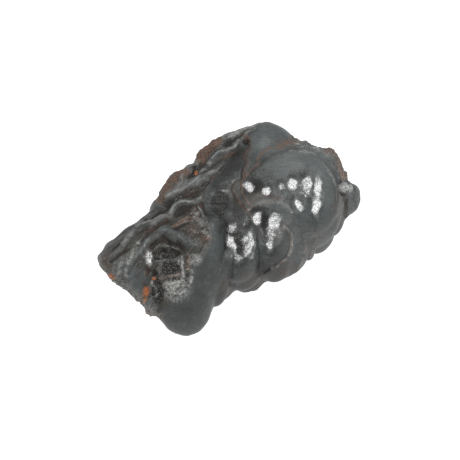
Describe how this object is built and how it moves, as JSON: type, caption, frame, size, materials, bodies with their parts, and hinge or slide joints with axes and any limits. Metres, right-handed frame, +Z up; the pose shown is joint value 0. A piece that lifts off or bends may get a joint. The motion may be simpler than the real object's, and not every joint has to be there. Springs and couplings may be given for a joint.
{
  "type": "hematite specimen",
  "caption": "Hand-sized botryoidal hematite stone with a lobed smooth flank, a rough fractured side and a flat resting face.",
  "frame": {"origin": "centre of the bounding box's bottom, on the flat resting face", "axes": "+X along the stone's long way towards its high end, -Y towards the smooth lobed flank, +Z up from the resting face"},
  "size_m": [0.084, 0.0512, 0.0364],
  "materials": {
    "hematite": "dull metallic grey skin with rough rust-brown fracture"
  },
  "bodies": {
    "root": {"hematite_stone": "hematite"}
  },
  "joints": []
}
